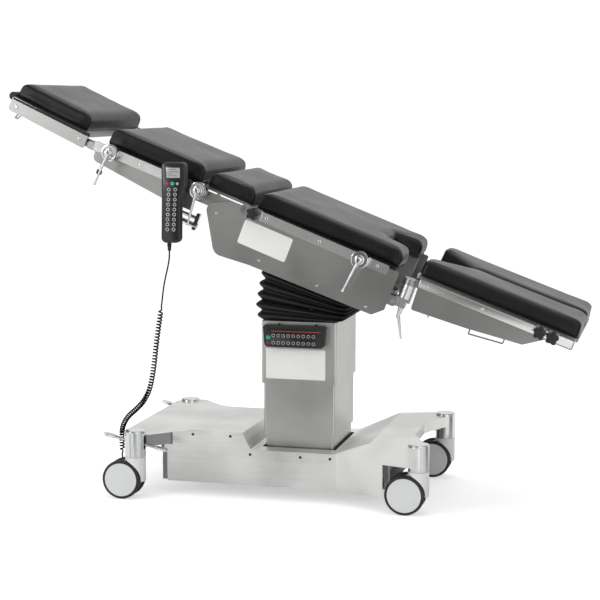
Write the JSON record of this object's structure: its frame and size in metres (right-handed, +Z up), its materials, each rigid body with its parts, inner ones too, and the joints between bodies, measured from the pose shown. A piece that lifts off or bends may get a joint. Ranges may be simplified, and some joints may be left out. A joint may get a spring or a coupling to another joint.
{
  "type": "operating table",
  "caption": "Mobile surgical table: padded head, back, kidney, seat and split leg sections on a tilting lift column, with castered steel base, side rails and corded handset.",
  "frame": {"origin": "on the floor under the middle of the lift column", "axes": "+X to the leg end, +Y away from the side with the handset, +Z up"},
  "size_m": [1.8361, 0.6448, 1.3237],
  "materials": {
    "pad_covering": "satin",
    "brushed_steel": "brushed",
    "chrome": "polished",
    "dark_board": "matte",
    "black_plastic": "matte",
    "handset_plastic": "matte",
    "key_film": "matte",
    "bellows_rubber": "matte",
    "cord_rubber": "matte",
    "steel_frame": "satin",
    "caster_hood": "gloss",
    "wheel_tread": "matte",
    "battery_case": "matte"
  },
  "bodies": {
    "base": {"base_chassis": "steel_frame", "base_cover_head": "brushed_steel", "base_cover_leg": "brushed_steel", "caster_housings": "chrome", "battery_pack": "battery_case", "control_box": "steel_frame", "inlet_sockets": "steel_frame", "column_lower_shell": "brushed_steel", "lift_cylinder": "steel_frame", "handset_cord_lead": "cord_rubber", "handset_cord_coil": "cord_rubber", "handset_cord_tail": "cord_rubber", "handset_cord_plug": "cord_rubber"},
    "column_middle": {"column_middle_shell": "brushed_steel"},
    "column_top": {"column_upper_shell": "brushed_steel", "lift_ram": "steel_frame", "override_panel": "black_plastic", "bellows_lower": "bellows_rubber"},
    "tilt_cross": {"tilt_cradle": "steel_frame", "bellows_upper": "bellows_rubber"},
    "carriage": {"roll_carriage": "steel_frame"},
    "seat": {"seat_frame": "steel_frame", "seat_covers": "brushed_steel", "seat_rails": "brushed_steel", "seat_board": "dark_board", "seat_pad": "pad_covering", "seat_clamps": "chrome"},
    "seat_knob": {"seat_knob": "black_plastic"},
    "seat_lever": {"seat_lever": "chrome"},
    "kidney": {"kidney_lift": "steel_frame", "kidney_pad": "pad_covering"},
    "back": {"back_frame": "brushed_steel", "back_struts": "chrome", "back_rails": "brushed_steel", "back_board": "dark_board", "back_pad": "pad_covering", "back_clamps": "chrome"},
    "back_lever_head": {"back_lever_head": "chrome"},
    "back_lever_seat": {"back_lever_seat": "chrome"},
    "handset": {"handset_shell": "handset_plastic", "handset_keys": "key_film"},
    "head": {"head_frame": "brushed_steel", "head_pad": "pad_covering"},
    "brake_pedals": {"brake_pedals": "chrome"},
    "leg_bracket_near": {"leg_bracket_near": "brushed_steel"},
    "leg_handle_near": {"leg_handle_near": "chrome"},
    "leg_near": {"leg_frame_near": "brushed_steel", "leg_pad_near": "pad_covering"},
    "leg_bracket_far": {"leg_bracket_far": "brushed_steel"},
    "leg_handle_far": {"leg_handle_far": "chrome"},
    "leg_far": {"leg_frame_far": "brushed_steel", "leg_pad_far": "pad_covering"},
    "caster_head_near": {"caster_fork_head_near": "caster_hood"},
    "wheels_head_near": {"caster_wheels_head_near": "wheel_tread"},
    "caster_head_far": {"caster_fork_head_far": "caster_hood"},
    "wheels_head_far": {"caster_wheels_head_far": "wheel_tread"},
    "caster_leg_near": {"caster_fork_leg_near": "caster_hood"},
    "wheels_leg_near": {"caster_wheels_leg_near": "wheel_tread"},
    "caster_leg_far": {"caster_fork_leg_far": "caster_hood"},
    "wheels_leg_far": {"caster_wheels_leg_far": "wheel_tread"}
  },
  "joints": [
    {"name": "lift", "type": "slide", "parent": "base", "child": "column_top", "axis": [0, 0, 1], "range_m": [-0.15, 0.15], "deforming": ["handset_cord_lead", "handset_cord_coil", "handset_cord_tail"]},
    {"name": "column_middle_slide", "type": "slide", "parent": "base", "child": "column_middle", "axis": [0, 0, 1], "range_m": [-0.075, 0.075]},
    {"name": "tilt", "type": "hinge", "parent": "column_top", "child": "tilt_cross", "pos_m": [0, 0, 0.64], "axis": [0, -1, 0], "range_deg": [-3.5, 46.5], "deforming": ["bellows_lower", "bellows_upper", "handset_cord_lead", "handset_cord_coil", "handset_cord_tail"]},
    {"name": "roll", "type": "hinge", "parent": "tilt_cross", "child": "carriage", "pos_m": [0, 0, 0.64], "axis": [0.9304, 0, -0.3665], "range_deg": [-18, 18], "deforming": ["bellows_lower", "bellows_upper", "handset_cord_lead", "handset_cord_coil", "handset_cord_tail"]},
    {"name": "top_slide", "type": "slide", "parent": "carriage", "child": "seat", "axis": [0.9304, 0, -0.3665], "range_m": [-0.15, 0.15], "deforming": ["handset_cord_lead", "handset_cord_coil", "handset_cord_tail"]},
    {"name": "kidney_lift", "type": "slide", "parent": "seat", "child": "kidney", "axis": [-0.3665, 0, -0.9304], "range_m": [-0.11, 0]},
    {"name": "back", "type": "hinge", "parent": "seat", "child": "back", "pos_m": [-0.16461, 0, 0.93699], "axis": [0, 1, 0], "range_deg": [-40, 75], "deforming": ["handset_cord_lead", "handset_cord_coil", "handset_cord_tail"]},
    {"name": "head", "type": "hinge", "parent": "back", "child": "head", "pos_m": [-0.65623, 0, 1.12958], "axis": [0, 1, 0], "range_deg": [-90, 45]},
    {"name": "back_lever_head", "type": "hinge", "parent": "back", "child": "back_lever_head", "pos_m": [-0.57162, -0.311, 1.10699], "axis": [0, 1, 0], "range_deg": [-60, 60]},
    {"name": "back_lever_seat", "type": "hinge", "parent": "back", "child": "back_lever_seat", "pos_m": [-0.28226, -0.311, 0.99301], "axis": [0, 1, 0], "range_deg": [-80, 5]},
    {"name": "seat_lever", "type": "hinge", "parent": "seat", "child": "seat_lever", "pos_m": [0.23133, -0.311, 0.7907], "axis": [0, 1, 0], "range_deg": [-60, 60]},
    {"name": "seat_knob", "type": "hinge", "parent": "seat", "child": "seat_knob", "pos_m": [-0.10734, -0.297, 0.92411], "axis": [0, 1, 0], "continuous": true},
    {"name": "handset_unhook", "type": "slide", "parent": "back", "child": "handset", "axis": [0.3665, 0, 0.9304], "range_m": [0, 0.02], "deforming": ["handset_cord_lead", "handset_cord_coil", "handset_cord_tail"]},
    {"name": "leg_pitch_near", "type": "hinge", "parent": "seat", "child": "leg_bracket_near", "pos_m": [0.32671, -0.228, 0.66177], "axis": [0, 1, 0], "range_deg": [-15, 50]},
    {"name": "leg_swing_near", "type": "hinge", "parent": "leg_bracket_near", "child": "leg_near", "pos_m": [0.36789, -0.246, 0.68908], "axis": [-0.3502, 0, -0.9367], "range_deg": [0, 90]},
    {"name": "leg_handle_near", "type": "hinge", "parent": "leg_bracket_near", "child": "leg_handle_near", "pos_m": [0.34687, -0.246, 0.63289], "axis": [0.3502, 0, 0.9367], "range_deg": [-60, 60]},
    {"name": "leg_pitch_far", "type": "hinge", "parent": "seat", "child": "leg_bracket_far", "pos_m": [0.32671, 0.228, 0.66177], "axis": [0, 1, 0], "range_deg": [-15, 50]},
    {"name": "leg_swing_far", "type": "hinge", "parent": "leg_bracket_far", "child": "leg_far", "pos_m": [0.36789, 0.246, 0.68908], "axis": [0.3502, 0, 0.9367], "range_deg": [0, 90]},
    {"name": "leg_handle_far", "type": "hinge", "parent": "leg_bracket_far", "child": "leg_handle_far", "pos_m": [0.34687, 0.246, 0.63289], "axis": [0.3502, 0, 0.9367], "range_deg": [-60, 60]},
    {"name": "brake_pedals", "type": "hinge", "parent": "base", "child": "brake_pedals", "pos_m": [-0.507, 0, 0.182], "axis": [0, 1, 0], "range_deg": [-10, 10]},
    {"name": "swivel_head_near", "type": "hinge", "parent": "base", "child": "caster_head_near", "pos_m": [-0.507, -0.28, 0.14], "axis": [0, 0, 1], "continuous": true},
    {"name": "wheels_head_near", "type": "hinge", "parent": "caster_head_near", "child": "wheels_head_near", "pos_m": [-0.547, -0.28, 0.0625], "axis": [0, 1, 0], "continuous": true},
    {"name": "swivel_head_far", "type": "hinge", "parent": "base", "child": "caster_head_far", "pos_m": [-0.507, 0.28, 0.14], "axis": [0, 0, 1], "continuous": true},
    {"name": "wheels_head_far", "type": "hinge", "parent": "caster_head_far", "child": "wheels_head_far", "pos_m": [-0.547, 0.28, 0.0625], "axis": [0, 1, 0], "continuous": true},
    {"name": "swivel_leg_near", "type": "hinge", "parent": "base", "child": "caster_leg_near", "pos_m": [0.411, -0.255, 0.14], "axis": [0, 0, 1], "continuous": true},
    {"name": "wheels_leg_near", "type": "hinge", "parent": "caster_leg_near", "child": "wheels_leg_near", "pos_m": [0.371, -0.255, 0.0625], "axis": [0, 1, 0], "continuous": true},
    {"name": "swivel_leg_far", "type": "hinge", "parent": "base", "child": "caster_leg_far", "pos_m": [0.411, 0.255, 0.14], "axis": [0, 0, 1], "continuous": true},
    {"name": "wheels_leg_far", "type": "hinge", "parent": "caster_leg_far", "child": "wheels_leg_far", "pos_m": [0.371, 0.255, 0.0625], "axis": [0, 1, 0], "continuous": true}
  ],
  "couplings": [
    {"joint": "column_middle_slide", "follows": "lift", "ratio": 0.5}
  ]
}
